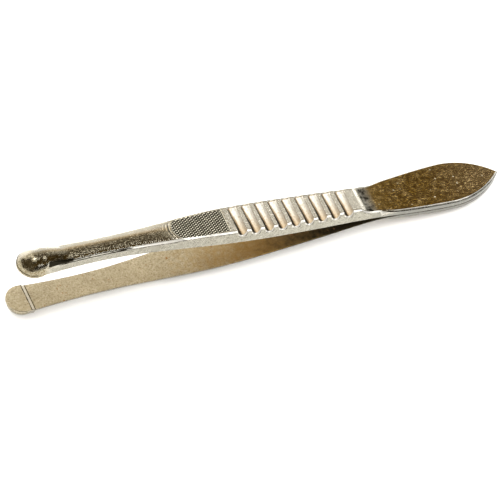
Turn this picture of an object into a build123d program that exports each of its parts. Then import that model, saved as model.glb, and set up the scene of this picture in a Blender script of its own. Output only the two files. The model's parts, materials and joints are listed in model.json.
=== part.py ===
"""Ball-ended tweezers: two forged steel halves that are brazed together at a leaf-shaped tail.

Sizes are in millimetres. Each half is drawn in the tweezers' own symmetric frame: "along" is the
distance from the tips, X is along less half the length, Y is across, and Z is measured from the
mid-plane between the halves. The lower half is the upper half turned over about X. At the end
everything is laid down as the tweezers lie on a table: on the lower grip and the tail's point.
"""

import math
import os

from build123d import *

# Overall
LENGTH = 90.0
DRAFT = math.tan(math.radians(26.5))
LIE_ANGLE = 4.17

# Tail: two leaves with a film of braze between them
BRAZE_FILM = 0.10
BRAZE_INSET = 0.15
LEAF_START = 70.0
LEAF_WIDEST_AT = 80.0
LEAF_HALF_WIDTH = 4.2
LEAF_THICKNESS = 1.16
LEAF_EDGE = 0.33
LEAF_END_RADIUS = 14.0

# Strap: the thin stretch ahead of the leaf, which bends when the arms are squeezed
STRAP_START = 65.7
HINGE_AT = 67.85

# Inner face's height above the braze, and the half-width of the outline, at stations along
INNER_RISE = [
    (0, 4.80), (12, 4.64), (24, 4.14), (36, 3.22), (48, 2.00), (60, 0.83), (66, 0.22), (70, 0), (75, 0),
]
HALF_WIDTH = [
    (3, 2.66), (8, 2.36), (14, 2.18), (20, 2.30), (28, 2.86), (36, 3.44), (44, 3.63),
    (54, 3.50), (65, 3.25), (70, 3.50), (75, 3.90),
]

# Shank: drafted walls under a rounded crown
SHANK_HEIGHT = 1.75
SHANK_WALL = 1.00
SHANK_FLAT = 0.25
SHANK_BULGE = 0.11
STATION_STEP = 2.0

# Grip: a flat top with bevelled edges, which starts where the shank's crown runs out. Ahead of the
# flutes its top is ground to the plane that the tweezers lie on
GRIP_START = 27.0
GRIP_FULL = 31.5
GRIP_HEIGHT = 1.88
GRIP_WALL = 1.57
GRIP_BEVEL = 0.35
GRIP_BULGE = 0.01

# Finger flutes and the scoop behind them
FLUTES = 9
FIRST_FLUTE = 39.9
FLUTE_PITCH = 2.54
FLUTE_RADIUS = 0.88
FLUTE_FLOOR = 1.08
SCOOP_END = 65.4
SCOOP_RADIUS = 4.0
CUTTER_WIDTH = 12.0

# Jaw: a half ball on a disc, with a raised pad on its inner face
BALL_AT = 2.70
BALL_RADIUS = 2.60
BALL_LIFT = 0.03
DISC_RADIUS = 2.70
DISC_HEIGHT = 0.35
PAD_FRONT_HEIGHT = 0.13
PAD_BACK_HEIGHT = 0.34
PAD_END = 3.55
PAD_STEP_END = 4.15


def slope_at(stations, index):
    """Slope of the smooth curve at one of its stations."""
    before = stations[max(index - 1, 0)]
    after = stations[min(index + 1, len(stations) - 1)]
    return (after[1] - before[1]) / (after[0] - before[0])


def value_at(stations, along):
    """Value of the smooth curve through the stations at a place along it."""
    index = 0
    while index < len(stations) - 2 and along > stations[index + 1][0]:
        index += 1
    start, start_value = stations[index]
    end, end_value = stations[index + 1]
    span = end - start
    t = (along - start) / span
    start_pull = slope_at(stations, index) * span * t * (1 - t) ** 2
    end_pull = slope_at(stations, index + 1) * span * t * t * (1 - t)
    ease = t * t * (3 - 2 * t)
    return start_value * (1 - ease) + end_value * ease + start_pull - end_pull


def inner_height(along):
    """Height of the upper half's inner face above the mid-plane."""
    return BRAZE_FILM / 2 + value_at(INNER_RISE, along)


def station(along, height=0.0):
    """Point on the centre line, at a height above the upper half's inner face."""
    return Vector(along - LENGTH / 2, 0, inner_height(along) + height)


def ease_between(start, end, along):
    """0 before start, 1 after end, and a smooth change between them."""
    t = min(max((along - start) / (end - start), 0), 1)
    return t * t * (3 - 2 * t)


def shoulder_arc(outer, inner, bulge):
    """Arc between two points, pushed outwards by a share of its chord."""
    chord = inner - outer
    middle = outer + chord * 0.5
    return ThreePointArc(outer, middle + Vector(chord.Y, -chord.X) * bulge, inner)


def section(along, height, wall, flat, bulge):
    """Cross-section: flat inner face, drafted walls, rounded or bevelled shoulders, flat top."""
    base = value_at(HALF_WIDTH, along)
    shoulder = base - wall * DRAFT
    right_arc = shoulder_arc(Vector(shoulder, wall), Vector(flat, height), bulge)
    outline = [
        Line((-base, 0), (base, 0)),
        Line((base, 0), (shoulder, wall)),
        right_arc,
        Line((flat, height), (-flat, height)),
        mirror(right_arc, Plane.YZ),
        Line((-shoulder, wall), (-base, 0)),
    ]
    plane = Plane(origin=station(along), x_dir=(0, 1, 0), z_dir=(1, 0, 0))
    return plane * make_face(outline)


def arm_section(along):
    """Section of the arm, which changes from the rounded shank to the flat grip."""
    grip = ease_between(GRIP_START, GRIP_FULL, along)
    wall = SHANK_WALL + (GRIP_WALL - SHANK_WALL) * grip
    height = SHANK_HEIGHT + (GRIP_HEIGHT - SHANK_HEIGHT) * grip
    grip_flat = value_at(HALF_WIDTH, along) - GRIP_WALL * DRAFT - GRIP_BEVEL
    flat = SHANK_FLAT + (grip_flat - SHANK_FLAT) * grip
    bulge = SHANK_BULGE + (GRIP_BULGE - SHANK_BULGE) * grip
    return section(along, height, wall, flat, bulge)


def strap_section(along):
    """Section of the strap, as thick as the leaf."""
    wall = LEAF_THICKNESS - LEAF_EDGE
    flat = value_at(HALF_WIDTH, along) - wall * DRAFT - LEAF_EDGE
    return section(along, LEAF_THICKNESS, wall, flat, GRIP_BULGE)


def flutes():
    """The row of round-bottomed finger grooves across the grip."""
    cutters = []
    for index in range(FLUTES):
        axis = station(FIRST_FLUTE + index * FLUTE_PITCH, FLUTE_FLOOR + FLUTE_RADIUS)
        cutters.append(Pos(*axis) * Rot(X=90) * Cylinder(FLUTE_RADIUS, CUTTER_WIDTH))
    return cutters


def scoop():
    """The hollow that brings the grip down to the strap's thickness."""
    floor = station(SCOOP_END, LEAF_THICKNESS)
    roller = Pos(floor.X, 0, floor.Z + SCOOP_RADIUS) * Rot(X=90) * Cylinder(SCOOP_RADIUS, CUTTER_WIDTH)
    rest = Box(SCOOP_RADIUS, CUTTER_WIDTH, SCOOP_RADIUS, align=(Align.MIN, Align.CENTER, Align.MIN))
    return [roller, Pos(*floor) * rest]


def table_cutter():
    """Everything beyond the plane that touches the tail's outer corner when the tweezers lie down.

    It grinds the crown off ahead of the flutes, which leaves the thumb patch as a true flat.
    """
    corner_inset = LEAF_EDGE * LEAF_END_RADIUS / (LENGTH - LEAF_WIDEST_AT)
    corner = Vector(LENGTH / 2 - corner_inset, 0, BRAZE_FILM / 2 + LEAF_THICKNESS)
    block = Box(2 * LENGTH, CUTTER_WIDTH, CUTTER_WIDTH, align=(Align.CENTER, Align.CENTER, Align.MIN))
    return Pos(*corner) * Rot(Y=LIE_ANGLE) * block


def ball_end():
    """Half ball and disc on the outside of the jaw."""
    base = (Align.CENTER, Align.CENTER, Align.MIN)
    disc = Cylinder(DISC_RADIUS, DISC_HEIGHT, align=base)
    ball = Pos(0, 0, BALL_LIFT) * Sphere(BALL_RADIUS, arc_size1=0, align=base)
    return Pos(*station(BALL_AT)) * (disc + ball)


def jaw_pad():
    """Raised pad on the jaw's inner face, with a sloping step at its back."""
    front = station(0, -PAD_FRONT_HEIGHT)
    back = station(PAD_END, -PAD_BACK_HEIGHT)
    step = station(PAD_STEP_END)
    top = DISC_HEIGHT / 2
    profile = Polyline(
        (front.X, front.Z),
        (back.X, back.Z),
        (step.X, step.Z),
        (step.X, step.Z + top),
        (front.X, step.Z + top),
        close=True,
    )
    wedge = extrude(Plane.XZ * make_face(profile), amount=DISC_RADIUS, both=True)
    disc = Pos(*station(BALL_AT)) * Cylinder(DISC_RADIUS, CUTTER_WIDTH)
    return wedge & disc


def make_arm():
    """Upper arm: jaw, shank and fluted grip, up to the strap."""
    steps = round((STRAP_START - BALL_AT) / STATION_STEP)
    stations = [BALL_AT + (STRAP_START - BALL_AT) * index / steps for index in range(steps + 1)]
    bar = loft([arm_section(along) for along in stations])
    return bar - flutes() - scoop() - table_cutter() + ball_end() + jaw_pad()


def make_strap():
    """Upper spring strap, between the arm and the leaf."""
    return loft([strap_section(along) for along in (STRAP_START, HINGE_AT, LEAF_START)])


def leaf_outline(inset):
    """Outline of the tail leaf: flared sides, then two arcs that meet in a point."""
    start = LEAF_START - LENGTH / 2
    widest = LEAF_WIDEST_AT - LENGTH / 2
    tip = LENGTH / 2 - inset
    middle = (start + widest) / 2
    neck = value_at(HALF_WIDTH, LEAF_START) - inset
    waist = value_at(HALF_WIDTH, (LEAF_START + LEAF_WIDEST_AT) / 2) - inset
    side = Spline((start, neck), (middle, waist), (widest, LEAF_HALF_WIDTH - inset))
    end = RadiusArc((widest, LEAF_HALF_WIDTH - inset), (tip, 0), LEAF_END_RADIUS)
    across = Line((start, neck), (start, -neck))
    return make_face([side, end, mirror(end, Plane.XZ), mirror(side, Plane.XZ), across])


def make_leaf():
    """Upper tail leaf, flat inside and outside, with a bevelled outer edge."""
    plate = Pos(0, 0, BRAZE_FILM / 2) * extrude(leaf_outline(0), amount=LEAF_THICKNESS)
    rim = plate.faces().sort_by(Axis.Z)[-1].edges().filter_by(Axis.Y, reverse=True)
    return chamfer(rim, LEAF_EDGE)


def make_braze():
    """Film of braze metal that joins the two leaves."""
    film = extrude(leaf_outline(BRAZE_INSET), amount=BRAZE_FILM)
    return Pos(0, 0, -BRAZE_FILM / 2) * film


turn_over = Rot(X=180)
halves = {"arm": make_arm(), "spring_strap": make_strap(), "tail_leaf": make_leaf()}
pieces = {"tail_braze": make_braze()}
for name, piece in halves.items():
    pieces[f"upper_{name}"] = piece
    pieces[f"lower_{name}"] = turn_over * piece

tilted = {name: Rot(Y=LIE_ANGLE) * piece for name, piece in pieces.items()}
box = Compound(list(tilted.values())).bounding_box()
ground = Pos(-box.center().X, 0, -box.min.Z)

os.makedirs("parts", exist_ok=True)
for name, piece in tilted.items():
    export_step(ground * piece, f"parts/{name}.step")

hinge = station(HINGE_AT, LEAF_THICKNESS / 2)
for label, height in (("upper", hinge.Z), ("lower", -hinge.Z)):
    place = ground * Rot(Y=LIE_ANGLE) * Pos(hinge.X, 0, height)
    print(label, "hinge at", place.position)
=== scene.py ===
"""Looks of the ball-ended tweezers: two nickel-plated halves and the braze seam between their leaves.

Each half is one continuous piece, as it is on the real tweezers. It is drawn in the tweezers' own
symmetric frame, in millimetres: "along" is the distance from the tips, "across" is Y on the upper
half and -Y on the lower one, which is turned over, and heights are measured outwards from the
half's flat inner face. The piece is then put in the row frame.
"""

import bpy
import json
import math

import numpy as np
from mathutils import Matrix, Vector


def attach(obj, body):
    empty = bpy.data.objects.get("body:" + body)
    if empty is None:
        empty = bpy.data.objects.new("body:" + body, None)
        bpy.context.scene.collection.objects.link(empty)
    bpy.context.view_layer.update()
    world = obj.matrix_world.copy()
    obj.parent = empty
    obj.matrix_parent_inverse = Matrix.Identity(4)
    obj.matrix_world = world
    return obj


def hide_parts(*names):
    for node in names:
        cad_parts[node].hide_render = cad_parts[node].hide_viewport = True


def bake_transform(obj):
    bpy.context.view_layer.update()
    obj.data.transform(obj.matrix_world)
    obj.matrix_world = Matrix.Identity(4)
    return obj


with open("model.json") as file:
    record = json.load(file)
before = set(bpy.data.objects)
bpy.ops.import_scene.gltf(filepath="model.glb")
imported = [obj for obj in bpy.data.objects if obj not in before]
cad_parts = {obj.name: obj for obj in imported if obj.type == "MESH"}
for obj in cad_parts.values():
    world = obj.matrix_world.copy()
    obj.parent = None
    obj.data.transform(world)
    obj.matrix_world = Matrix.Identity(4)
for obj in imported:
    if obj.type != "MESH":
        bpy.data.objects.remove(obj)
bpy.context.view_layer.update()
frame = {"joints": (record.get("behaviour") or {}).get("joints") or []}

MM = 0.001
SEED = 7

# Driving dimensions, the same as the CAD model's
LENGTH = 90.0
DRAFT = math.tan(math.radians(26.5))
BRAZE_FILM = 0.10
LEAF_START = 70.0
LEAF_WIDEST_AT = 80.0
LEAF_HALF_WIDTH = 4.2
LEAF_THICKNESS = 1.16
LEAF_EDGE = 0.33
LEAF_END_RADIUS = 14.0
STRAP_START = 65.7
HINGE_AT = 67.85
INNER_RISE = [
    (0, 4.80), (12, 4.64), (24, 4.14), (36, 3.22), (48, 2.00), (60, 0.83), (66, 0.22), (70, 0), (75, 0),
]
HALF_WIDTH = [
    (3, 2.66), (8, 2.36), (14, 2.18), (20, 2.30), (28, 2.86), (36, 3.44), (44, 3.63),
    (54, 3.50), (65, 3.25), (70, 3.50), (75, 3.90),
]
SHANK_HEIGHT = 1.75
SHANK_WALL = 1.00
GRIP_START = 27.0
GRIP_FULL = 31.5
GRIP_HEIGHT = 1.88
GRIP_WALL = 1.57
FLUTES = 9
FIRST_FLUTE = 39.9
FLUTE_PITCH = 2.54
FLUTE_RADIUS = 0.88
FLUTE_FLOOR = 1.08
SCOOP_END = 65.4
SCOOP_RADIUS = 4.0
BALL_AT = 2.70
BALL_RADIUS = 2.60
BALL_LIFT = 0.03
DISC_RADIUS = 2.70
DISC_HEIGHT = 0.35
PAD_FRONT_HEIGHT = 0.13
PAD_BACK_HEIGHT = 0.34
PAD_END = 3.55
PAD_STEP_END = 4.15

# Curves that the CAD model draws as arcs and splines: the leaf's flare and the shank's crown
LEAF_NECK_HALF_WIDTH = 3.5
LEAF_FLARE_POWER = 1.5
CROWN_POWER = 2.3

# Knurled thumb patch, and the crescents pressed ahead of it
PATCH_START = 27.75
PATCH_ROUND_END = 30.60
PATCH_END = 37.80
PATCH_HALF_WIDTH = 2.50
PATCH_TAPER = 0.03
PATCH_RIM = 0.16
PATCH_MARGIN = 0.02
KNURL_ALONG = 0.78
KNURL_ACROSS = 0.46
KNURL_DEPTH = 0.14
KNURL_POWER = 1.6
CRESCENT_PITCH = 0.48
CRESCENTS = 3
CRESCENT_DEPTH = 0.09
CRESCENT_ENDS = (0.9, 1.7)
CRESCENT_FADE = 0.22

# Walls, bevels and roundings that only the visual model has
WALL_GROWS_FROM = 16.0
BEVEL_GROWS_FROM = 14.0
SCALLOP_BEVEL = 0.17
BEVEL_LEAN = 0.435
EDGE_ROUNDING = 0.05
INNER_EDGE = 0.06
INNER_EDGE_SHARES = (0.955, 1.0)
STEEP_WALL = 40.0
LOW_ON_WALL = 0.6
LEAST_WIDTH = 0.1
FOOT = 0.05
NECK_FILLET = 1.3
LEAST_FILLET = 0.02
NECK_STRETCH = 2.3
NECK_END = 3.2 * BALL_AT

# How strongly grime, painted shade, the brown and olive painted reflection, painted highlights and grey
# flank show, with 0 for none, and how much of the painted reflection the ball's top is spared, which
# leaves it lighter
KNURL_DIRT = 1.65
CRESCENT_DIRT = 0.9
FLUTE_SHADE = 0.95
FLUTE_FAR_LINE = 0.62
SCOOP_DIRT = 0.66
SHOULDER_SHADE = 1.0
INNER_EDGE_SHADE = 0.72
JAW_REFLECTION = 1.0
BALL_TOP_LIGHTER = 0.8
SHANK_REFLECTION = 0.85
LAND_SHEEN = 0.25
SHANK_SHEEN = 0.10
STEP_SHEEN = 0.4
STEP_LINE_WIDTH = 0.10
LEAF_LINE = 0.8
FAR_RIM_GREY = 0.85

# Where that paint starts and stops changing, along the tweezers
SCOOP_GRIME = ((63.2, 63.9), (65.0, 67.6))
SHANK_LINES = ((5.0, 8.0), (GRIP_START - 3, GRIP_START))
NECK_WEDGE = ((4.3, 5.0), (8.0, 11.0))
GRIP_LANDS = ((PATCH_END, PATCH_END + 0.3), (62.4, 63.2))
JAW_REFLECTION_ENDS = (BALL_AT + 1.5, BALL_AT + 5)

# The same across the tweezers, as shares of the half-width
NECK_WEDGE_SIDE = (0.50, 0.66)
CROWN_REFLECTION = ((-0.66, -0.52), (0.10, 0.42))
SHANK_SHEEN_SIDE = (0.22, 0.50)

# The same by other measures: the share of the way out to the wall's top, the height over the wall's
# height or the ball's radius, the drop below the leaf's flat, and how far the top lies below the
# wall's slope
SHOULDER_LINE = (0.86, 0.95)
NECK_WEDGE_HEIGHT = (1.0, 1.2)
BALL_TOP = (0.40, 0.90)
LEAF_LINE_DROP = (0.0, 0.03)
LEAF_SIDE_DROP = (0.11, 0.17)
FAR_RIM = (0.6, 0.9)

# Where a flute's painted shade turns to its painted highlight, as shares of its radius from its axis: in
# the middle of its length, the change over the half-width, and the soft stretches on either side
FLUTE_TURN = -0.20
FLUTE_TURN_LEAN = -0.22
FLUTE_DARK_ENDS = (-0.10, 0.12)
FLUTE_BRIGHT_STARTS = (0.16, 0.34)
FLUTE_FAR_WALL = (0.93, 0.99)
FLUTE_HIGHLIGHT_FLOOR = 0.3

# Mesh: steps along the half in millimetres, numbers of stations, and columns across its inner face
BALL_STATIONS = 26
NECK_STEP = 0.12
NECK_STEP_END = 7.0
COARSE_STEP = 0.4
KNURL_STEP = 0.078
SCOOP_STEP = 0.16
TAIL_STEP = 0.25
POINT_STATIONS = 14
POINT_LENGTH = 1.0
CLOSEST_STATIONS = 0.012
INNER_COLUMNS = 14
HALF_SHARP_ANGLE = math.radians(38)

# Braze seam: a bead whose section has four levels, as shares of half the film's thickness, each
# with its reach outwards as a share of the bead's
SEAM_POINTS = 180
SEAM_INSET = 0.10
SEAM_END_INSET = 0.15
SEAM_REACH = 0.25
SEAM_UNEVENNESS = 0.35
SEAM_SMOOTHING = 9
SEAM_LEVELS = ((-1, -1.0), (-0.5, 0.6), (0.5, 0.6), (1, -1.0))
SEAM_SHARP_ANGLE = math.radians(40)


# --- places in the row frame -------------------------------------------------------------------

joint_places = {joint["name"]: Vector(joint["pos_m"]) for joint in frame["joints"]}
upper_hinge = joint_places["upper_arm_flex"]
lower_hinge = joint_places["lower_arm_flex"]
OUTWARD = (upper_hinge - lower_hinge).normalized()
BACKWARD = Vector((OUTWARD.z, 0, -OUTWARD.x))
NEAR_TO_FAR = Vector((0, 1, 0))
HINGE_MIDDLE = (upper_hinge + lower_hinge) / 2
LIE_SLOPE = OUTWARD.x / OUTWARD.z


def in_row_frame(drawn):
    """Points drawn in the symmetric frame, in millimetres, as points in the row frame, in metres."""
    axes = np.array([BACKWARD, NEAR_TO_FAR, OUTWARD])
    from_hinge = np.asarray(drawn, float) - np.array([HINGE_AT - LENGTH / 2, 0, 0])
    return from_hinge @ axes * MM + np.array(HINGE_MIDDLE)


# --- curves ------------------------------------------------------------------------------------

def smooth_curve(stations, along):
    """Smooth curve through the stations, with each slope taken from the neighbours' chord."""
    at, value = (np.array(column, float) for column in zip(*stations))
    index = np.clip(np.searchsorted(at, along, side="left") - 1, 0, len(at) - 2)
    before = np.maximum(np.arange(len(at)) - 1, 0)
    after = np.minimum(np.arange(len(at)) + 1, len(at) - 1)
    slope = (value[after] - value[before]) / (at[after] - at[before])
    span = at[index + 1] - at[index]
    t = (along - at[index]) / span
    ease = t * t * (3 - 2 * t)
    pull = slope[index] * span * t * (1 - t) ** 2 - slope[index + 1] * span * t * t * (1 - t)
    return value[index] * (1 - ease) + value[index + 1] * ease + pull


def ease_between(start, end, x):
    """0 before start, 1 after end, and a smooth change between them."""
    t = np.clip((x - start) / (end - start), 0, 1)
    return t * t * (3 - 2 * t)


def stretch(rise, fall, x):
    """1 between the end of the rise and the start of the fall, 0 outside them, smooth in both."""
    return ease_between(*rise, x) * (1 - ease_between(*fall, x))


def lower_of(a, b, rounding):
    """The lower of two heights, with a rounded edge where they cross."""
    h = np.clip(0.5 + 0.5 * (b - a) / rounding, 0, 1)
    return b * (1 - h) + a * h - rounding * h * (1 - h)


def higher_of(a, b, rounding):
    """The higher of two heights, with a fillet where they cross."""
    return -lower_of(-a, -b, rounding)


def triangle_wave(phase):
    """0 on whole numbers and 1 half-way between them."""
    return 2 * np.abs(phase - np.round(phase))


# --- shape of a half ---------------------------------------------------------------------------

def inner_height(along):
    """Height of the inner face above the mid-plane."""
    return BRAZE_FILM / 2 + smooth_curve(INNER_RISE, np.minimum(along, INNER_RISE[-1][0]))


def half_width(along):
    """Half of the outline's width."""
    disc = np.sqrt(np.maximum(DISC_RADIUS**2 - (along - BALL_AT) ** 2, 0))
    bar = smooth_curve(HALF_WIDTH, np.clip(along, HALF_WIDTH[0][0], LEAF_START))
    flare = np.clip((LEAF_WIDEST_AT - along) / (LEAF_WIDEST_AT - LEAF_START), 0, 1) ** LEAF_FLARE_POWER
    leaf = LEAF_HALF_WIDTH - (LEAF_HALF_WIDTH - LEAF_NECK_HALF_WIDTH) * flare
    past = np.maximum(along - LEAF_WIDEST_AT, 0)
    drop = LEAF_END_RADIUS - np.sqrt(np.maximum(LEAF_END_RADIUS**2 - past**2, 0))
    tail = np.maximum(leaf - drop, 0)
    arm = np.where(along < HALF_WIDTH[0][0], disc, np.maximum(bar, disc))
    return np.where(along > LEAF_START, tail, arm)


def edge_inset(along, across, width):
    """Distance inside the outline, square to it where the leaf's end is round."""
    slope = np.gradient(width[:, 0], along[:, 0])[:, None]
    end_slope = np.where(along > LEAF_WIDEST_AT, slope, 0)
    return (width - np.abs(across)) / np.sqrt(1 + end_slope**2)


def shoulder_share(across, width, wall):
    """How far out a place is, as a share of the way to the top of the drafted wall."""
    return np.abs(across) / np.maximum(width - wall * DRAFT, LEAST_WIDTH)


def table_plane(along):
    """Height above the inner face of the plane that the half lies on when it is the lower one."""
    corner_inset = LEAF_EDGE * LEAF_END_RADIUS / (LENGTH - LEAF_WIDEST_AT)
    rise = (LENGTH - corner_inset - along) * LIE_SLOPE
    return BRAZE_FILM / 2 + LEAF_THICKNESS + rise - inner_height(along)


def crown_and_grip(along, across, width):
    """Top of the arm, the shank's rounded crown and the grip's flat top, and the walls' height."""
    wall = SHANK_WALL + (GRIP_WALL - SHANK_WALL) * ease_between(WALL_GROWS_FROM, GRIP_FULL, along)
    place = np.clip(shoulder_share(across, width, wall), 0, 1)
    crown = wall + (SHANK_HEIGHT - wall) * (1 - place**CROWN_POWER) ** (1 / CROWN_POWER)
    top = crown + (GRIP_HEIGHT - crown) * ease_between(GRIP_START, GRIP_FULL, along)
    return lower_of(top, table_plane(along), EDGE_ROUNDING), wall


def patch_inset(along, across):
    """Distance inside the knurled patch's outline, negative outside it."""
    side = PATCH_HALF_WIDTH - np.abs(across) - PATCH_TAPER * np.maximum(along - PATCH_ROUND_END, 0)
    nose = (PATCH_ROUND_END - along) / (PATCH_ROUND_END - PATCH_START)
    radius = np.sqrt(np.maximum(nose, 0) ** 2 + (across / PATCH_HALF_WIDTH) ** 2)
    return np.minimum(np.where(nose > 0, (1 - radius) * PATCH_HALF_WIDTH, side), PATCH_END - along)


def knurl_groove(along, across):
    """How deep in the crossed grooves a place is: 0 on a peak and 1 at the bottom."""
    leaning = triangle_wave(along / KNURL_ALONG + across / KNURL_ACROSS)
    leaning_back = triangle_wave(along / KNURL_ALONG - across / KNURL_ACROSS)
    return np.maximum(leaning, leaning_back)


def crescent_groove(along, across):
    """How deep in the crescents ahead of the patch a place is."""
    turn = (-patch_inset(along, across) - PATCH_RIM) / CRESCENT_PITCH
    wave = 0.5 - 0.5 * np.cos(2 * np.pi * turn)
    inside = (turn > 0) & (turn < CRESCENTS) & (along < PATCH_ROUND_END)
    ends = 1 - ease_between(*CRESCENT_ENDS, np.abs(across))
    return wave * inside * ends * (1 - CRESCENT_FADE * np.maximum(turn, 0))


def cut_knurl(along, across, top):
    """The top with the thumb patch and the crescents ahead of it cut in, and the grime in them."""
    in_patch = ease_between(PATCH_MARGIN, PATCH_RIM, patch_inset(along, across))
    groove = in_patch * knurl_groove(along, across)
    crescent = crescent_groove(along, across)
    depth = KNURL_DEPTH * groove**KNURL_POWER + CRESCENT_DEPTH * crescent
    return top - depth, np.maximum(KNURL_DIRT * groove, CRESCENT_DIRT * crescent)


def flute_shading(reach, share):
    """Painted shade and painted highlight in a flute. Reach goes from -1 at its front wall to 1 at its
    back wall.
    """
    turn = FLUTE_TURN + FLUTE_TURN_LEAN * share
    dark = 1 - ease_between(turn + FLUTE_DARK_ENDS[0], turn + FLUTE_DARK_ENDS[1], reach)
    far_line = FLUTE_FAR_LINE * ease_between(*FLUTE_FAR_WALL, reach)
    bright = ease_between(turn + FLUTE_BRIGHT_STARTS[0], turn + FLUTE_BRIGHT_STARTS[1], reach)
    return FLUTE_SHADE * np.maximum(dark, far_line), FLUTE_HIGHLIGHT_FLOOR + (1 - FLUTE_HIGHLIGHT_FLOOR) * bright


def cut_flutes(along, share, top):
    """The top with the row of round-bottomed finger grooves cut in, and the painted shade and painted
    highlight in them.
    """
    dirt_and_shade = np.zeros_like(top)
    groove = np.zeros_like(top)
    for index in range(FLUTES):
        axis_at = FIRST_FLUTE + index * FLUTE_PITCH
        axis = inner_height(np.array([axis_at]))[0] + FLUTE_FLOOR + FLUTE_RADIUS
        reach = np.clip((along - axis_at) / FLUTE_RADIUS, -1, 1)
        near = np.abs(along - axis_at) < FLUTE_RADIUS
        floor = axis - FLUTE_RADIUS * np.sqrt(1 - reach**2) - inner_height(along)
        inside = near & (floor < top)
        # Painted shade on the front wall and as a line at the back wall, painted highlight from the
        # middle on
        grime_and_shade, wear_and_flute_highlight = flute_shading(reach, share)
        groove = np.maximum(groove, wear_and_flute_highlight * inside)
        dirt_and_shade = np.maximum(dirt_and_shade, grime_and_shade * inside)
        top = np.where(near, lower_of(top, floor, EDGE_ROUNDING), top)
    return top, dirt_and_shade, groove


def cut_scoop(along, top):
    """The top with the hollow that brings the grip down to the leaf's thickness."""
    floor = inner_height(np.array([SCOOP_END]))[0] + LEAF_THICKNESS
    reach = np.clip((SCOOP_END - along) / SCOOP_RADIUS, 0, 1)
    scoop = floor + SCOOP_RADIUS * (1 - np.sqrt(1 - reach**2)) - inner_height(along)
    scoop = np.where(along > SCOOP_END, LEAF_THICKNESS, scoop)
    return np.where(along > SCOOP_END - SCOOP_RADIUS, lower_of(top, scoop, EDGE_ROUNDING), top)


def leaf_bevel(along, inset, draft):
    """Height of the leaf's bevelled edge. Ahead of the strap it is lifted clear of the top."""
    wall = LEAF_THICKNESS - LEAF_EDGE
    clear_of_top = 2 * (1 - ease_between(SCOOP_END, STRAP_START + 1, along))
    return wall + inset - wall * draft + clear_of_top


def leaf_edge_paint(bevel, on_leaf):
    """The painted highlight along the leaf's bevel, and the grey side below it."""
    drop = LEAF_THICKNESS - bevel
    line = stretch(LEAF_LINE_DROP, LEAF_SIDE_DROP, drop) * on_leaf
    return line, ease_between(*LEAF_SIDE_DROP, drop) * on_leaf


def cut_sides(along, top, climb, wall, on_leaf):
    """The body between its side walls, with the scalloped bevel along the walls' upper edges.

    Climb is the wall's height above its foot. Returned as well are how much bevel and how much flank a
    place is, and how far the top lies below the wall's slope, carried on upwards.
    """
    side = climb + FOOT
    low_on_wall = (climb < LOW_ON_WALL * wall) & (along < STRAP_START)
    top = np.where(low_on_wall, side + 1, top)
    depth = SCALLOP_BEVEL * ease_between(BEVEL_GROWS_FROM, GRIP_FULL, along) * (1 - on_leaf)
    bevel = BEVEL_LEAN * side + (1 - BEVEL_LEAN) * top - depth
    rounding = EDGE_ROUNDING * (1 - 0.6 * on_leaf)
    body = lower_of(lower_of(top, side, rounding), bevel, rounding)
    # The bevel's share, which carries a painted highlight
    edge = ease_between(0.0, 0.05, np.minimum(top, side) - bevel)
    behind_ball = ease_between(BALL_AT + 1, BALL_AT + 3, along)
    flank = ease_between(0.0, 0.15, top - depth - side) * behind_ball
    return body, edge, flank, side - top


def add_ball(along, across, body, side):
    """The body with the half ball on its disc at the tip, and a fillet that draws the ball out."""
    ahead = np.minimum(along - BALL_AT, 0)
    behind = np.maximum(along - BALL_AT, 0)
    from_axis = np.sqrt(ahead**2 + behind**2 + across**2)
    drawn_out = np.sqrt(ahead**2 + (behind / NECK_STRETCH) ** 2 + across**2)
    dome = np.sqrt(np.maximum(BALL_RADIUS**2 - drawn_out**2, 0)) + BALL_LIFT
    rim = FOOT + np.maximum(DISC_RADIUS - from_axis, 0) * STEEP_WALL
    jaw = np.minimum(higher_of(np.minimum(rim, DISC_HEIGHT), dome, EDGE_ROUNDING), rim)
    fillet = NECK_FILLET * ease_between(BALL_AT, BALL_AT + 2.0, along) + LEAST_FILLET
    neck = np.minimum(higher_of(body, dome, fillet), np.maximum(side, rim))
    to_neck = ease_between(BALL_AT - 0.05, BALL_AT + 0.25, along)
    return np.where(along < NECK_END, jaw + (neck - jaw) * to_neck, body)


def shank_lines(along, shoulder):
    """Painted shade: the dark lines along the shank's shoulders."""
    return SHOULDER_SHADE * ease_between(*SHOULDER_LINE, shoulder) * stretch(*SHANK_LINES, along)


def neck_wedge(along, share, height, wall):
    """Painted shade: the black wedge behind the ball, on the side where across is negative."""
    high_up = ease_between(*NECK_WEDGE_HEIGHT, height / wall)
    return high_up * ease_between(*NECK_WEDGE_SIDE, -share) * stretch(*NECK_WEDGE, along)


def far_rim(along, across, below_wall, on_leaf):
    """Painted reflection: the grey rim of the grip, on the side where across is positive."""
    rim = (1 - ease_between(*FAR_RIM, below_wall)) * (across > 0) * (along > PATCH_START)
    return rim * (1 - on_leaf)


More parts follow.
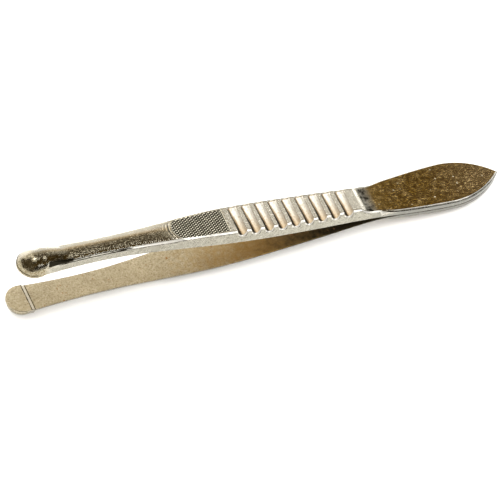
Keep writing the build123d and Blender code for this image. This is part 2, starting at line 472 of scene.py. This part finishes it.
def outer_surface(along, across):
    """Outer height above the inner face, and how much soiling and painted shade, flank, flute with its
    painted highlight and bevel with its painted highlight a place has.
    """
    width = half_width(along)
    share = across / np.maximum(width, LEAST_WIDTH)
    on_leaf = ease_between(STRAP_START, LEAF_START, along)
    top, wall = crown_and_grip(along, across, width)
    top, knurl_dirt = cut_knurl(along, across, top)
    top, flute_shade, groove = cut_flutes(along, share, top)
    top = cut_scoop(along, top)

    inset = edge_inset(along, across, width)
    draft = DRAFT + (1 / STEEP_WALL - DRAFT) * on_leaf
    bevel = leaf_bevel(along, inset, draft)
    climb = inset / draft
    body, edge, flank, below_wall = cut_sides(
        along, lower_of(top, bevel, EDGE_ROUNDING), climb, wall, on_leaf
    )
    height = add_ball(along, across, body, climb + FOOT)

    leaf_line, leaf_side = leaf_edge_paint(bevel, on_leaf)
    # Painted highlights on the bevels, and the painted highlight line along the leaf's bevel
    edge = np.maximum(edge * (1 - leaf_side), LEAF_LINE * leaf_line * (1 - flank))
    flank = np.maximum(flank, leaf_side)
    rim = far_rim(along, across, below_wall, on_leaf)
    clear = (1 - flank) * (1 - edge) * (1 - rim)
    # Dark paint: grime in the knurl and crescents, darker in the scoop, and painted shade in the flutes,
    # along the shank's shoulders and in the wedge behind the ball
    dirt_and_shade = np.maximum(knurl_dirt, flute_shade)
    dirt_and_shade = np.maximum(dirt_and_shade, SCOOP_DIRT * stretch(*SCOOP_GRIME, along))
    dirt_and_shade = np.maximum(dirt_and_shade, shank_lines(along, shoulder_share(across, width, wall)))
    dirt_and_shade = np.maximum(dirt_and_shade * clear, neck_wedge(along, share, height, wall) * (1 - edge))
    paint = {
        "dirt_and_shade": dirt_and_shade,
        # The flank's grey, and the far rim's painted reflection in grey
        "flank": np.maximum(flank, FAR_RIM_GREY * rim),
        "groove": groove * clear,
        "edge": edge * (1 - rim),
    }
    return np.maximum(height, FOOT), paint


def paint_outside(along, across, share, height, paint):
    """Adds the knurled patch, the brown and olive painted reflection and the painted highlights to the
    outer surface's paint.
    """
    clear = (1 - paint["flank"]) * (1 - paint["edge"])
    # Painted reflection: dark olive on the jaw, brown on the leaf, and darker on the shank's crown
    jaw = 1 - ease_between(*JAW_REFLECTION_ENDS, along)
    # The ball's top is spared part of the dark painted reflection, so it is lighter, a painted highlight
    jaw = jaw * (1 - BALL_TOP_LIGHTER * ease_between(*BALL_TOP, height / BALL_RADIUS))
    leaf = ease_between(SCOOP_END - 1.0, SCOOP_END + 1.0, along)
    shank = (1 - jaw) * (1 - ease_between(PATCH_START - 1, PATCH_START + 1, along))
    painted_reflection = np.maximum(leaf, JAW_REFLECTION * jaw) + SHANK_REFLECTION * shank * stretch(*CROWN_REFLECTION, share)
    # Painted highlights on the grip's lands and on the shank's side where across is positive
    land = stretch(*GRIP_LANDS, along) * (1 - paint["flank"]) * (1 - paint["groove"])
    light = np.maximum(LAND_SHEEN * land, SHANK_SHEEN * shank * ease_between(*SHANK_SHEEN_SIDE, share))
    in_patch = ease_between(0.0, PATCH_RIM, patch_inset(along, across)) * (1 - paint["flank"])
    return {
        "dirt_and_shade": paint["dirt_and_shade"],
        "inner_face": 0 * height,
        "flank": paint["flank"],
        "knurled": in_patch,
        "groove": paint["groove"],
        "painted_reflection": painted_reflection * clear,
        "edge": np.maximum(paint["edge"], light),
    }


def inner_surface(along):
    """Height of the inner face's pad and step, which stand proud towards the other half."""
    front = PAD_FRONT_HEIGHT + (PAD_BACK_HEIGHT - PAD_FRONT_HEIGHT) * np.clip(along / PAD_END, 0, 1)
    step = 1 - np.clip((along - PAD_END) / (PAD_STEP_END - PAD_END), 0, 1)
    return -front * step


def dark_line(along, at):
    """A thin dark line of painted shade across the inner face."""
    return np.exp(-((along - at) / STEP_LINE_WIDTH) ** 2)


def inner_grid(along, width):
    """Grid of the inner face from side to side, with its height and its paint."""
    share = np.concatenate([[-1, -0.99, -0.97], np.linspace(-0.94, 0.94, INNER_COLUMNS), [0.97, 0.99, 1]])
    across = share * np.maximum(width - FOOT, 0.6 * width)
    along = np.repeat(along[:, None], share.size, axis=1)
    worn_edge = ease_between(*INNER_EDGE_SHARES, np.abs(share)) * (
        1 - ease_between(STRAP_START - 6, STRAP_START - 2, along)
    )
    height = inner_surface(along) + INNER_EDGE * worn_edge
    # Painted shade as dark lines at the step's two edges, and a painted highlight on the band between
    # them
    step_lines = dark_line(along, PAD_END - 0.06) + dark_line(along, PAD_STEP_END + 0.08)
    step_band = (along > PAD_END + 0.06) & (along < PAD_STEP_END - 0.03)
    paint = {
        # Painted shade at the step and along the rounded side edges
        "dirt_and_shade": np.maximum(step_lines, INNER_EDGE_SHADE * worn_edge),
        "inner_face": 1 + 0 * height,
        "edge": STEP_SHEEN * step_band,
    }
    return along, across, height, paint


# --- mesh of a half ----------------------------------------------------------------------------

def stations_along():
    """Places along a half, close together where the shape changes quickly."""
    knurl_start = PATCH_START - 1.8
    last_flute = FIRST_FLUTE + (FLUTES - 1) * FLUTE_PITCH
    parts = [
        BALL_AT * (1 - np.cos(np.linspace(0.03, np.pi / 2, BALL_STATIONS))),
        np.arange(BALL_AT, NECK_STEP_END, NECK_STEP),
        [PAD_END, PAD_STEP_END],
        np.arange(NECK_STEP_END, knurl_start, COARSE_STEP),
        np.arange(knurl_start, PATCH_END + 0.3, KNURL_STEP),
        [GRIP_FULL],
        np.arange(last_flute + 1.0, LEAF_START + 1.0, SCOOP_STEP),
        np.arange(LEAF_START + 1.0, LEAF_WIDEST_AT + 5, COARSE_STEP),
        np.arange(LEAF_WIDEST_AT + 5, LENGTH - POINT_LENGTH, TAIL_STEP),
        LENGTH - POINT_LENGTH * (1 - np.sin(np.linspace(0, np.pi / 2, POINT_STATIONS)) * 0.995),
    ]
    for index in range(FLUTES):
        axis_at = FIRST_FLUTE + index * FLUTE_PITCH
        parts.append(axis_at + FLUTE_RADIUS * np.sin(np.radians(np.linspace(-84, 84, 15))))
        parts.append(axis_at + FLUTE_RADIUS * np.array([-1.3, -1.12, -1.03, 1.03, 1.12, 1.3]))
    places = np.unique(np.round(np.concatenate([np.asarray(part, float) for part in parts]), 4))
    keep = np.concatenate([[True], np.diff(places) > CLOSEST_STATIONS])
    return places[keep]


def shares_across():
    """Places across the outer surface, as shares of the half-width, from 1 down to -1."""
    rim = np.linspace(1.0, 0.994, 5)
    wall = np.linspace(0.985, 0.70, 32)
    top = np.linspace(0.685, 0, 37)
    side = np.concatenate([rim, wall, top])
    return np.concatenate([side, -side[-2::-1]])


def tube_faces(count, columns):
    """Faces between the loops of a closed tube, and the two that close its ends."""
    column = np.arange(columns)
    following = (column + 1) % columns
    row = np.arange(count - 1)[:, None] * columns
    corners = [row + column, row + following, row + columns + following, row + columns + column]
    faces = np.stack(corners, axis=-1).reshape(-1, 4).tolist()
    faces.append(list(range(columns))[::-1])
    faces.append(list(range((count - 1) * columns, count * columns)))
    return faces


def shaded_mesh(name, drawn, faces, sharp_angle):
    """Mesh in the row frame of points drawn in the symmetric frame, smooth up to an angle."""
    mesh = bpy.data.meshes.new(name)
    mesh.from_pydata(in_row_frame(drawn).tolist(), [], faces)
    mesh.update()
    mesh.polygons.foreach_set("use_smooth", [True] * len(mesh.polygons))
    mesh.set_sharp_from_angle(angle=sharp_angle)
    return mesh


def half_mesh(name, side):
    """Mesh of a half in the row frame. Side is 1 for the upper half and -1 for the lower one."""
    stations = stations_along()
    width = half_width(stations)[:, None]
    outer_along, share = np.meshgrid(stations, shares_across(), indexing="ij")
    outer_across = share * width
    outer_height, paint = outer_surface(outer_along, outer_across)
    outer_paint = paint_outside(outer_along, outer_across, share, outer_height, paint)
    inner_along, inner_across, inner_top, inner_paint = inner_grid(stations, width)

    along = np.concatenate([outer_along, inner_along], axis=1)
    across = np.concatenate([outer_across, inner_across], axis=1)
    height = np.concatenate([outer_height, inner_top], axis=1) + inner_height(stations)[:, None]
    own = np.stack([along, across, height], axis=-1).reshape(-1, 3)
    drawn = np.stack([own[:, 0] - LENGTH / 2, side * own[:, 1], side * own[:, 2]], axis=-1)
    mesh = shaded_mesh(name, drawn, tube_faces(*along.shape), HALF_SHARP_ANGLE)

    for attribute, outside in outer_paint.items():
        inside = inner_paint.get(attribute, 0 * inner_top)
        values = np.concatenate([outside, inside], axis=1)
        layer = mesh.attributes.new(attribute, "FLOAT", "POINT")
        layer.data.foreach_set("value", values.astype(np.float32).ravel())
    layer = mesh.attributes.new("own_place", "FLOAT_VECTOR", "POINT")
    layer.data.foreach_set("vector", own.astype(np.float32).ravel())
    return mesh


# --- materials ---------------------------------------------------------------------------------

class Nodes:
    """Short calls for building the node tree of a material or a world."""

    def __init__(self, owner):
        self.owner = owner
        owner.use_nodes = True
        self.tree = owner.node_tree

    def feed(self, value, socket):
        """Gives a socket a number, a colour or another node's output."""
        if isinstance(value, (int, float)):
            socket.default_value = value
        elif isinstance(value, tuple):
            socket.default_value = (*value, 1)
        else:
            self.tree.links.new(value, socket)

    def add(self, kind, inputs=None, **settings):
        node = self.tree.nodes.new(kind)
        for key, value in settings.items():
            setattr(node, key, value)
        for key, value in (inputs or {}).items():
            self.feed(value, node.inputs[key])
        return node

    def attribute(self, name, output="Fac"):
        return self.add("ShaderNodeAttribute", attribute_name=name).outputs[output]

    def part(self, vector, axis):
        """One component of a vector."""
        return self.add("ShaderNodeSeparateXYZ", {"Vector": vector}).outputs[axis]

    def stretched(self, place, scale):
        node = self.add("ShaderNodeMapping", {"Vector": place})
        node.inputs["Scale"].default_value = scale
        return node.outputs["Vector"]

    def noise(self, place, scale, detail=3.0, roughness=0.55):
        inputs = {"Scale": scale, "Detail": detail, "Roughness": roughness, "Vector": place}
        return self.add("ShaderNodeTexNoise", inputs).outputs["Fac"]

    def spots(self, place, scale, size):
        """1 at scattered points, falling to 0 at a distance from them."""
        distance = self.add("ShaderNodeTexVoronoi", {"Scale": scale, "Vector": place}).outputs["Distance"]
        return self.ramp(distance, 0.0, size, 1.0, 0.0)

    def ramp(self, value, low, high, to_low=0.0, to_high=1.0, interpolation="LINEAR"):
        """Goes from one number to another as a value goes from low to high."""
        inputs = {"From Min": low, "From Max": high, "To Min": to_low, "To Max": to_high, "Value": value}
        node = self.add("ShaderNodeMapRange", inputs, clamp=True, interpolation_type=interpolation)
        return node.outputs["Result"]

    def ease(self, value, low, high):
        """0 to 1, smoothly, as a value goes from low to high."""
        return self.ramp(value, low, high, interpolation="SMOOTHSTEP")

    def math(self, operation, a, b):
        return self.add("ShaderNodeMath", {0: a, 1: b}, operation=operation).outputs["Value"]

    def sum(self, first, *others):
        for other in others:
            first = self.math("ADD", first, other)
        return first

    def times(self, a, b):
        return self.math("MULTIPLY", a, b)

    def mix(self, share, a, b):
        """Colour a where the share is 0 and colour b where it is 1."""
        node = self.add("ShaderNodeMix", {"Factor": share}, data_type="RGBA")
        colours = [socket for socket in node.inputs if socket.type == "RGBA"]
        for socket, colour in zip(colours, (a, b)):
            self.feed(colour, socket)
        return [socket for socket in node.outputs if socket.type == "RGBA"][0]

    def stain(self, under, colour, value, low, high, amount=1.0):
        """A colour laid over another, up to an amount, as a value goes from low to high."""
        return self.mix(self.ramp(value, low, high, 0.0, amount), under, colour)

    def bump(self, height, strength, distance, under=None):
        inputs = {"Strength": strength, "Distance": distance, "Height": height}
        if under is not None:
            inputs["Normal"] = under
        return self.add("ShaderNodeBump", inputs).outputs["Normal"]


# Colours of the plating, of what lies on it, and of the painted reflections, shade and highlights on it
NICKEL_GREY = (0.60, 0.575, 0.50)
NICKEL_PALE = (0.70, 0.67, 0.59)
NICKEL_STAIN = (0.42, 0.35, 0.24)
LEAF_BROWN = (0.22, 0.135, 0.030)
LEAF_GOLD = (0.42, 0.31, 0.14)
LEAF_SHADE = (0.20, 0.12, 0.022)
LEAF_END = (0.50, 0.40, 0.26)
LEAF_GLINT = (0.60, 0.50, 0.34)
LEAF_PIT = (0.11, 0.068, 0.018)
LEAF_NICK = (0.95, 0.90, 0.78)
OLIVE_DARK = (0.14, 0.115, 0.065)
OLIVE_LIGHT = (0.36, 0.32, 0.23)
TAN_REFLECTION = (0.58, 0.45, 0.27)
FLANK_DARK = (0.31, 0.295, 0.245)
FLANK_LIGHT = (0.37, 0.355, 0.30)
LEAF_FLANK = (0.20, 0.20, 0.185)
KNURL_HIGHLIGHT = (1.0, 0.94, 0.74)
FLUTE_TAN = (0.44, 0.335, 0.205)
FLUTE_PALE = (0.78, 0.76, 0.70)
FLUTE_SPECK = (0.34, 0.255, 0.155)
FLUTE_BROWN = (0.40, 0.26, 0.12)
INNER_DARK = (0.395, 0.335, 0.225)
INNER_LIGHT = (0.50, 0.43, 0.295)
INNER_PIT = (0.19, 0.155, 0.095)
INNER_GLINT = (0.66, 0.60, 0.47)
INNER_BROWN_REFLECTION = (0.34, 0.215, 0.065)
INNER_SHADE = (0.035, 0.028, 0.016)
RUST = (0.30, 0.17, 0.075)
EDGE_HIGHLIGHT = (0.74, 0.72, 0.66)
# Black of the grime and of the painted shade
GRIME_AND_SHADE_BLACK = (0.020, 0.017, 0.010)
BRAZE_DARK = (0.19, 0.13, 0.055)
BRAZE_LIGHT = (0.42, 0.31, 0.15)

# Depths of the plating's relief, in metres
PEEL_DEPTH = 0.00006
PIT_DEPTH = 0.00003
SCRATCH_DEPTH = 0.00002
GRAIN_DEPTH = 0.00003


class Plating(Nodes):
    """Nickel plate: polished outside and blasted inside, with the stains and scuffs of long use, and with
    painted reflections, shade and highlights.

    The masks are the attributes that paint_outside and inner_grid give the mesh.
    """

    def __init__(self, name):
        super().__init__(bpy.data.materials.new(name))
        self.place = self.attribute("own_place", "Vector")
        self.along = self.part(self.place, "X")
        self.across = self.part(self.place, "Y")
        self.inner = self.ramp(self.attribute("inner_face"), 0.4, 0.6)
        self.flank = self.attribute("flank")
        self.knurled = self.attribute("knurled")
        self.groove = self.attribute("groove")
        self.edge = self.attribute("edge")
        self.cloud = self.noise(self.place, 0.35, 4.0)
        self.mottle = self.noise(self.place, 1.1, 4.0, 0.6)
        self.fine = self.noise(self.place, 3.4, 4.0, 0.7)
        # Black mask over the grime in the knurl and crescents, the darker scoop, and the painted shade in
        # the flutes, on the shank's shoulders, behind the ball and on the inner face's edges and step,
        # with ragged borders
        ragged = self.times(self.math("SUBTRACT", self.mottle, 0.5), 0.6)
        self.grime_and_shade = self.ramp(self.sum(self.attribute("dirt_and_shade"), ragged), 0.50, 0.72)

    def leaf_reflection(self):
        """Brown and gold painted reflection, mottled, paler towards the tail's point, with bright nicks.
        """
        brown = self.mix(self.ramp(self.mottle, 0.38, 0.70), LEAF_BROWN, LEAF_GOLD)
        brown = self.stain(brown, LEAF_SHADE, self.cloud, 0.42, 0.62, 0.6)
        brown = self.stain(brown, LEAF_END, self.along, 77.0, 88.0, 0.45)
        brown = self.stain(brown, LEAF_GLINT, self.fine, 0.60, 0.74, 0.30)
        brown = self.stain(brown, LEAF_PIT, self.fine, 0.44, 0.32, 0.40)
        return self.mix(self.spots(self.place, 0.55, 0.14), brown, LEAF_NICK)

    def jaw_reflection(self):
        """Olive painted reflection of the jaw and shank, with a tan painted reflection on the shank where
        across is positive.
        """
        olive = self.mix(self.ramp(self.fine, 0.42, 0.62), OLIVE_DARK, OLIVE_LIGHT)
        tan_side = self.times(self.ramp(self.across, -0.1, 0.9), self.ramp(self.along, 4.0, 6.5))
        return self.mix(tan_side, olive, TAN_REFLECTION)

    def flank_grey(self):
        """Grey of the side walls, darker on the strap and leaf."""
        grey = self.mix(self.ramp(self.mottle, 0.35, 0.65), FLANK_DARK, FLANK_LIGHT)
        return self.stain(grey, LEAF_FLANK, self.along, 64.0, 69.0, 0.75)

    def flute_light_and_shade(self):
        """Metal of the flutes with painted light: tan to pale across them, with specks, and brown painted
        shade where they are dark.
        """
        lit_metal = self.mix(self.ramp(self.across, -3.0, 1.6), FLUTE_TAN, FLUTE_PALE)
        lit_metal = self.stain(lit_metal, FLUTE_SPECK, self.fine, 0.50, 0.62, 0.6)
        return self.mix(self.ramp(self.groove, 0.3, 0.9), FLUTE_BROWN, lit_metal)

    def outside(self):
        """Polished nickel with each painted place on it, among them painted reflections, shade and
        highlights.
        """
        colour = self.mix(self.ramp(self.cloud, 0.35, 0.7), NICKEL_GREY, NICKEL_PALE)
        colour = self.stain(colour, NICKEL_STAIN, self.fine, 0.5, 0.75, 0.30)
        # Painted reflection: olive on the jaw and shank, brown and gold on the leaf
        painted_reflection = self.mix(self.ramp(self.along, 40.0, 60.0), self.jaw_reflection(), self.leaf_reflection())
        colour = self.mix(self.attribute("painted_reflection"), colour, painted_reflection)
        colour = self.mix(self.flank, colour, self.flank_grey())
        # The knurled patch in near-white paint, a painted highlight that shows on the peaks between the
        # grimy valleys
        colour = self.mix(self.knurled, colour, KNURL_HIGHLIGHT)
        return self.mix(self.ramp(self.groove, 0.0, 0.3), colour, self.flute_light_and_shade())

    def inside(self):
        """Blasted nickel, with a brown painted reflection and then a nearly black painted shade towards
        the closed end, and rust.
        """
        colour = self.mix(self.ramp(self.cloud, 0.3, 0.7), INNER_DARK, INNER_LIGHT)
        colour = self.stain(colour, INNER_PIT, self.fine, 0.50, 0.66, 0.75)
        colour = self.stain(colour, INNER_GLINT, self.fine, 0.44, 0.34, 0.6)
        uneven = self.times(self.math("SUBTRACT", self.mottle, 0.5), 22.0)
        along = self.sum(self.along, uneven)
        # Brown painted reflection of the other half, then nearly black painted shade, towards the closed
        # end
        colour = self.stain(colour, INNER_BROWN_REFLECTION, along, 29.0, 44.0, 0.85)
        colour = self.stain(colour, INNER_SHADE, along, 45.0, 58.0, 0.92)
        return self.stain(colour, RUST, self.noise(self.place, 0.9, 3.0), 0.66, 0.72)

    def colour(self):
        colour = self.mix(self.inner, self.outside(), self.inside())
        # Painted highlights on the bevels, lands, shank and the inner face's step
        colour = self.mix(self.edge, colour, EDGE_HIGHLIGHT)
        # Black over the grime and over the painted shade
        return self.mix(self.grime_and_shade, colour, GRIME_AND_SHADE_BLACK)

    def roughness(self):
        shine = self.ramp(self.cloud, 0.3, 0.7, 0.07, 0.13)
        wear_and_flute_highlight = self.ramp(self.fine, 0.5, 0.8, 0.0, 0.10)
        return self.sum(
            shine,
            wear_and_flute_highlight,
            self.times(self.inner, 0.30),
            self.times(self.flank, 0.16),
            self.times(self.grime_and_shade, 0.35),
        )

    def metallic(self):
        """Less than 1 where paint and blasting hide the metal's reflections."""
        # Duller where the knurl, flutes and bevels carry painted highlights, so the paint shows, and on
        # the blasted inner face
        dull = self.sum(
            self.times(self.inner, 0.2),
            self.times(self.knurled, 0.6),
            self.times(self.groove, 0.62),
            self.times(self.edge, 0.45),
        )
        return self.math("SUBTRACT", 1.0, dull)

    def relief(self):
        """Orange peel, then pits, fine scratches and grain on top of one another."""
        scratch = self.noise(self.stretched(self.place, (0.35, 7.0, 3.0)), 3.0, 2.0)
        peel = self.bump(self.noise(self.place, 1.7), 0.55, PEEL_DEPTH)
        pits = self.bump(self.spots(self.place, 2.6, 0.16), 0.5, PIT_DEPTH, peel)
        lines = self.bump(self.ramp(scratch, 0.62, 0.74), 0.5, SCRATCH_DEPTH, pits)
        return self.bump(self.fine, 0.5, GRAIN_DEPTH, lines)


def plated_steel():
    """The plating's colour, roughness, metal and relief, put together as one material."""
    n = Plating("nickel_plate")
    shader = n.tree.nodes["Principled BSDF"]
    n.feed(n.colour(), shader.inputs["Base Color"])
    n.feed(n.roughness(), shader.inputs["Roughness"])
    n.feed(n.metallic(), shader.inputs["Metallic"])
    n.feed(n.relief(), shader.inputs["Normal"])
    return n.owner


def braze_metal():
    """Dull yellow braze, darkened by flux."""
    n = Nodes(bpy.data.materials.new("braze_metal"))
    shader = n.tree.nodes["Principled BSDF"]
    place = n.add("ShaderNodeTexCoord").outputs["Object"]
    blotch = n.noise(place, 900.0)
    grain = n.noise(place, 2500.0)
    n.feed(n.mix(n.ramp(blotch, 0.35, 0.65), BRAZE_DARK, BRAZE_LIGHT), shader.inputs["Base Color"])
    n.feed(n.ramp(blotch, 0.3, 0.7, 0.35, 0.6), shader.inputs["Roughness"])
    n.feed(0.9, shader.inputs["Metallic"])
    n.feed(n.bump(grain, 0.4, GRAIN_DEPTH), shader.inputs["Normal"])
    return n.owner


# --- pieces ------------------------------------------------------------------------------------

def add_piece(name, mesh, material):
    piece = bpy.data.objects.new(name, mesh)
    bpy.context.scene.collection.objects.link(piece)
    mesh.materials.append(material)
    return piece


def make_half(name, side, material):
    """One continuous half: leaf, strap and arm."""
    half = add_piece(f"{name}_half", half_mesh(f"{name}_half", side), material)
    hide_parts(f"{name}_tail_leaf", f"{name}_spring_strap", f"{name}_arm")
    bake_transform(half)


def seam_outline():
    """Points round the leaf, a little inside its edge, and the outward direction at each."""
    turn = np.linspace(0, np.pi / 2, SEAM_POINTS)[::-1]
    along = np.sort(LEAF_START + (LENGTH - LEAF_START - SEAM_END_INSET) * (1 - np.cos(turn)))
    across = np.maximum(half_width(along) - SEAM_INSET, 0)
    there = np.stack([along, across], axis=-1)
    back = np.stack([along[::-1], -across[::-1]], axis=-1)
    outline = np.concatenate([there, back])
    past_widest = outline[:, 0] - LEAF_WIDEST_AT
    lean = np.where(past_widest > 0, past_widest / LEAF_END_RADIUS, 0)
    outward = np.stack([lean, np.sign(outline[:, 1])], axis=-1)
    return outline, outward / np.linalg.norm(outward, axis=1)[:, None]


def seam_faces(count):
    """Faces between the bead's rings of points, and the flat faces that close it above and below."""
    faces = []
    for level in range(len(SEAM_LEVELS) - 1):
        low = level * count
        high = low + count
        for index in range(count):
            after = (index + 1) % count
            faces.append([low + index, low + after, high + after, high + index])
    top = len(SEAM_LEVELS) - 1
    for level, order in ((0, -1), (top, 1)):
        for index in range(count // 2 - 1):
            there = level * count + index
            back = level * count + count - 1 - index
            faces.append([there, there + 1, back - 1, back][::order])
    return faces


def make_seam(material):
    """The braze that fills the joint between the leaves, with a slightly uneven bead at its edge."""
    random = np.random.default_rng(SEED)
    outline, outward = seam_outline()
    count = len(outline)
    window = np.ones(SEAM_SMOOTHING) / SEAM_SMOOTHING
    uneven = np.convolve(random.normal(0, 1, count + SEAM_SMOOTHING - 1), window, mode="valid")
    reach = SEAM_INSET * (SEAM_REACH + SEAM_UNEVENNESS * uneven)
    rings = []
    for level, share in SEAM_LEVELS:
        edge = outline + outward * (reach * share)[:, None]
        height = np.full(count, level * BRAZE_FILM / 2)
        rings.append(np.column_stack([edge[:, 0] - LENGTH / 2, edge[:, 1], height]))
    mesh = shaded_mesh("braze_seam", np.concatenate(rings), seam_faces(count), SEAM_SHARP_ANGLE)
    seam = add_piece("braze_seam", mesh, material)
    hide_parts("tail_braze")
    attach(seam, "tail")


nickel = plated_steel()
make_half("upper", 1, nickel)
make_half("lower", -1, nickel)
make_seam(braze_metal())


# --- floor, light and world --------------------------------------------------------------------

FLOOR_HALF_SIZE = 3.0
FLOOR_WHITE = (0.93, 0.93, 0.925)

# Colours of the room by the sine of the elevation, from -1 straight down to 1 overhead
FAR_SIDE = [
    (-0.05, (1.0, 0.985, 0.95)),
    (0.30, (1.0, 0.96, 0.88)),
    (0.60, (0.92, 0.84, 0.70)),
    (0.90, (0.80, 0.72, 0.58)),
    (1.00, (0.20, 0.18, 0.12)),
]
NEAR_SIDE = [
    (-0.03, (1.0, 0.98, 0.94)),
    (0.05, (0.45, 0.42, 0.36)),
    (0.16, (0.030, 0.026, 0.020)),
    (0.50, (0.05, 0.042, 0.028)),
    (0.70, (0.13, 0.085, 0.022)),
    (0.80, (0.15, 0.095, 0.022)),
    (0.90, (0.06, 0.052, 0.030)),
    (1.00, (0.12, 0.11, 0.07)),
]

# The rest of the room, and the lamps over it
TAIL_SIDE = (0.70, 0.67, 0.60)
TIP_SIDE = (0.16, 0.125, 0.07)
WINDOW = (1.70, 1.62, 1.45)
OVERHEAD_DIRECTIONS = ((-0.6, -0.5, 0.7), (0.7, -0.4, 0.7), (0.5, 0.6, 0.7), (-0.6, 0.6, 0.7))


def make_floor():
    size = FLOOR_HALF_SIZE
    mesh = bpy.data.meshes.new("floor")
    corners = [(-size, -size, 0), (size, -size, 0), (size, size, 0), (-size, size, 0)]
    mesh.from_pydata(corners, [], [(0, 1, 2, 3)])
    n = Nodes(bpy.data.materials.new("floor_paper"))
    shader = n.tree.nodes["Principled BSDF"]
    n.feed(FLOOR_WHITE, shader.inputs["Base Color"])
    n.feed(0.9, shader.inputs["Roughness"])
    n.feed(0.1, shader.inputs["Specular IOR Level"])
    add_piece("floor", mesh, n.owner)


def make_softbox(name, towards, distance, size, power, in_reflections):
    """Square soft light in a direction from the tweezers, facing them."""
    light = bpy.data.lights.new(name, "AREA")
    light.shape = "SQUARE"
    light.size = size
    light.energy = power
    box = bpy.data.objects.new(name, light)
    bpy.context.scene.collection.objects.link(box)
    back = Vector(towards).normalized()
    box.location = back * distance
    box.rotation_mode = "QUATERNION"
    box.rotation_quaternion = (-back).to_track_quat("-Z", "Y")
    box.visible_glossy = in_reflections


def elevation_ramp(n, height, stops):
    """Colour by elevation, where height goes from 0 straight down to 1 overhead."""
    node = n.add("ShaderNodeValToRGB", {"Fac": height})
    elements = node.color_ramp.elements
    while len(elements) < len(stops):
        elements.new(0.5)
    for element, (sine, colour) in zip(elements, stops):
        element.position = (sine + 1) / 2
        element.color = (*colour, 1)
    return node.outputs["Color"]


def make_world():
    """A room that is bright overhead and on the far side, dim on the near side and beyond the tips."""
    world = bpy.data.worlds.new("studio")
    bpy.context.scene.world = world
    n = Nodes(world)
    direction = n.add("ShaderNodeTexCoord").outputs["Generated"]
    along = n.part(direction, "X")
    across = n.part(direction, "Y")
    height = n.ramp(n.part(direction, "Z"), -1.0, 1.0)
    near_side = elevation_ramp(n, height, NEAR_SIDE)
    far_side = elevation_ramp(n, height, FAR_SIDE)
    beyond_tail = n.mix(n.ease(along, 0.51, 0.60), near_side, TAIL_SIDE)
    far_side = n.mix(n.ease(across, 0.50, 0.60), beyond_tail, far_side)
    room = n.mix(n.ease(across, 0.20, 0.36), near_side, far_side)
    window = n.times(n.ease(along, 0.34, 0.26), n.ease(across, -0.32, -0.20))
    room = n.mix(window, room, WINDOW)
    beside_tips = n.times(n.ease(along, 0.02, -0.14), n.ease(across, 0.45, 0.36))
    room = n.mix(beside_tips, room, TIP_SIDE)
    room = n.mix(n.ease(along, -0.55, -0.72), room, TIP_SIDE)
    background = n.tree.nodes["Background"]
    n.feed(room, background.inputs["Color"])
    n.feed(1.0, background.inputs["Strength"])


make_floor()
make_world()
make_softbox("strip", (0.56, -0.67, 0.49), distance=0.9, size=0.18, power=0.35, in_reflections=True)
make_softbox("spot", (0.23, 0.02, 0.97), distance=1.0, size=0.28, power=1.5, in_reflections=True)
for number, towards in enumerate(OVERHEAD_DIRECTIONS):
    make_softbox(f"overhead_{number}", towards, distance=1.2, size=1.5, power=14.0, in_reflections=False)


# --- camera ------------------------------------------------------------------------------------

CAMERA_AZIMUTH = math.radians(-39.069)
CAMERA_ELEVATION = math.radians(51.175)
CAMERA_ROLL = math.radians(19.359)
CAMERA_DISTANCE = 1000.0
CAMERA_LENS = 429.9
SENSOR = 36.0
CENTRE_OFFSET = (1.049, 3.809)


def make_camera():
    """Camera at the angle of the picture, given in the symmetric frame."""
    a, e, roll = CAMERA_AZIMUTH, CAMERA_ELEVATION, CAMERA_ROLL
    back = Vector((math.sin(a) * math.cos(e), -math.cos(a) * math.cos(e), math.sin(e)))
    level = Vector((math.cos(a), math.sin(a), 0))
    upright = back.cross(level)
    right = math.cos(roll) * level + math.sin(roll) * upright
    up = back.cross(right)
    place = back * CAMERA_DISTANCE - right * CENTRE_OFFSET[0] - up * CENTRE_OFFSET[1]
    turn = Matrix((BACKWARD, NEAR_TO_FAR, OUTWARD)).transposed()
    data = bpy.data.cameras.new("camera")
    data.sensor_width = SENSOR
    data.lens = CAMERA_LENS
    data.clip_start = 0.05
    data.clip_end = 20.0
    camera = bpy.data.objects.new("camera", data)
    bpy.context.scene.collection.objects.link(camera)
    axes = (turn @ Matrix((right, up, back)).transposed()).to_4x4()
    camera.matrix_world = Matrix.Translation(Vector(in_row_frame([place])[0])) @ axes
    bpy.context.scene.camera = camera


make_camera()
bpy.context.scene.view_settings.view_transform = "Standard"
